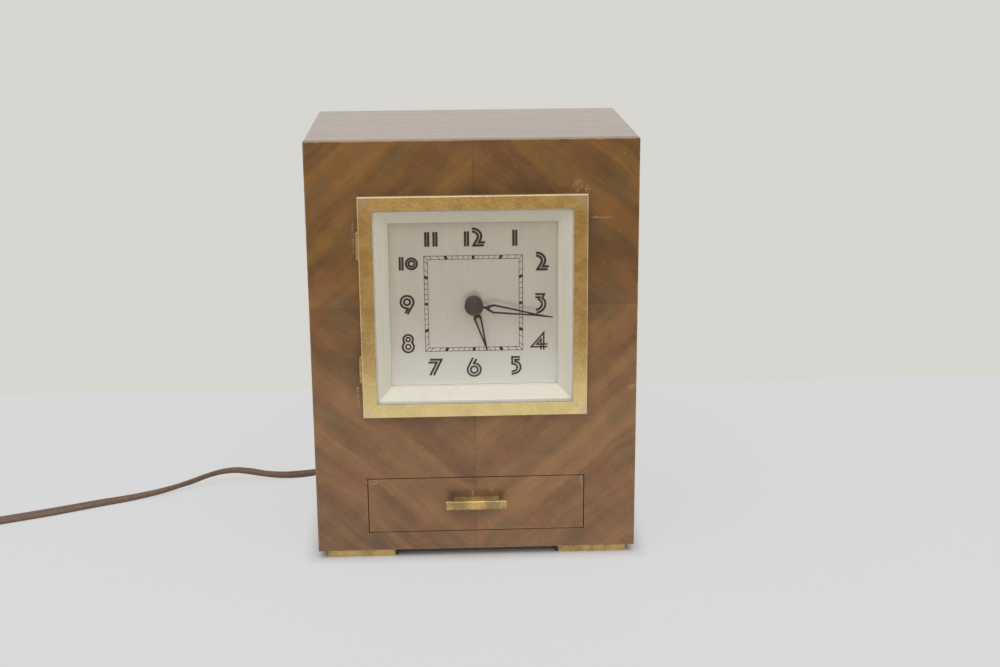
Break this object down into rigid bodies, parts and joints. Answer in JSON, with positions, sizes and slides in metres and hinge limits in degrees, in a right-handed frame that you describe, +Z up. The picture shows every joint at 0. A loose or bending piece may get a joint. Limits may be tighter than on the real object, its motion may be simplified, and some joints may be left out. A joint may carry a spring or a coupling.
{
  "type": "electric clock",
  "caption": "Electric mantel clock: veneered case, hinged square glazed door, skeleton hands, synchronous movement, drawer and flat mains lead with plug.",
  "frame": {"origin": "on the table under the middle of the clock, measured without its free lead", "axes": "+Z up, the dial faces -Y, +X to the right seen from the front"},
  "size_m": [0.5204, 0.1993, 0.2431],
  "materials": {
    "walnut_veneer": "aged walnut veneer under satin lacquer, laid in a diamond on the front",
    "inner_wood": "plain unfinished softwood and plywood",
    "hardboard": "brown hardboard, smooth outside",
    "dark_wood": "dark stained, matt",
    "brass": "brushed brass, aged and rubbed at the edges",
    "inner_brass": "plain machined brass",
    "silvered": "silvered satin metal, aged slightly warm",
    "glass": "clear flat glass",
    "black_enamel": "satin black enamel",
    "steel": "plain steel",
    "core_steel": "laminated core steel, varnished",
    "bobbin": "pressed fibre",
    "winding_tape": "varnished cloth tape over wire",
    "copper_shell": "drawn copper shell",
    "lead_rubber": "brown flat twin rubber lead with a groove down the middle",
    "wire_cover": "black braided cover",
    "plug_moulding": "dark brown moulding",
    "blade_brass": "plain brass"
  },
  "bodies": {
    "case": {"case_front": "walnut_veneer", "case_top": "walnut_veneer", "case_left_side": "walnut_veneer", "case_right_side": "walnut_veneer", "case_bottom": "inner_wood", "drawer_shelf": "inner_wood", "shelf_cleats": "inner_wood", "drawer_runners": "inner_wood", "drawer_stops": "inner_wood", "back_blocks": "inner_wood", "back_cover": "hardboard", "back_screws": "steel", "feet": "dark_wood", "foot_facings": "brass", "hinge_case_leaves": "brass", "hinge_pins": "brass", "catch_socket": "brass", "dial_plate": "silvered", "dial_clips": "inner_brass", "dial_posts": "inner_brass", "movement_front_plate": "inner_brass", "movement_back_plate": "inner_brass", "plate_pillars": "inner_brass", "stator_core": "core_steel", "stator_posts": "steel", "coil_bobbin": "bobbin", "coil_winding": "winding_tape", "rotor_case": "copper_shell", "minute_wheel_stud": "steel", "shaft_bushing": "inner_brass", "lead_bush": "lead_rubber", "inner_leads": "wire_cover", "lead_run": "lead_rubber", "lead_coil": "lead_rubber", "lead_tail": "lead_rubber", "plug_body": "plug_moulding", "plug_blades": "blade_brass"},
    "door": {"door_frame": "brass", "door_glass": "glass", "dial_surround": "silvered", "surround_clips": "brass", "hinge_door_leaves": "brass", "catch_stud": "brass"},
    "drawer": {"drawer_front": "walnut_veneer", "drawer_sides": "inner_wood", "drawer_back": "inner_wood", "drawer_bottom": "inner_wood", "drawer_handle": "brass", "handle_screws": "inner_brass"},
    "centre": {"centre_arbor": "steel", "centre_wheel": "inner_brass", "cannon_pinion": "inner_brass", "minute_hand": "black_enamel", "hub_cap": "black_enamel", "set_knob": "inner_brass"},
    "hour": {"hour_wheel": "inner_brass", "hour_hand": "black_enamel"},
    "minute_wheel": {"minute_wheel": "inner_brass"},
    "intermediate": {"intermediate_wheel": "inner_brass"},
    "rotor": {"rotor_pinion": "inner_brass"}
  },
  "joints": [
    {"name": "door_hinge", "type": "hinge", "parent": "case", "child": "door", "pos_m": [-0.0638, -0.06595, 0.1501], "axis": [0, 0, -1], "range_deg": [0, 120]},
    {"name": "drawer_slide", "type": "slide", "parent": "case", "child": "drawer", "axis": [0, -1, 0], "range_m": [0, 0.08]},
    {"name": "centre_turn", "type": "hinge", "parent": "case", "child": "centre", "pos_m": [0, -0.04385, 0.1501], "axis": [0, 1, 0], "continuous": true},
    {"name": "hour_turn", "type": "hinge", "parent": "case", "child": "hour", "pos_m": [0, -0.05385, 0.1501], "axis": [0, 1, 0], "continuous": true},
    {"name": "minute_wheel_turn", "type": "hinge", "parent": "case", "child": "minute_wheel", "pos_m": [-0.00849, -0.05185, 0.14161], "axis": [0, 1, 0], "continuous": true},
    {"name": "intermediate_turn", "type": "hinge", "parent": "case", "child": "intermediate", "pos_m": [0.00709, -0.03885, 0.13355], "axis": [0, 1, 0], "continuous": true},
    {"name": "rotor_turn", "type": "hinge", "parent": "case", "child": "rotor", "pos_m": [0, -0.03585, 0.1181], "axis": [0, 1, 0], "continuous": true}
  ],
  "couplings": [
    {"joint": "hour_turn", "follows": "centre_turn", "ratio": 0.083333},
    {"joint": "minute_wheel_turn", "follows": "centre_turn", "ratio": -0.33333},
    {"joint": "intermediate_turn", "follows": "centre_turn", "ratio": -8},
    {"joint": "rotor_turn", "follows": "centre_turn", "ratio": 60}
  ]
}
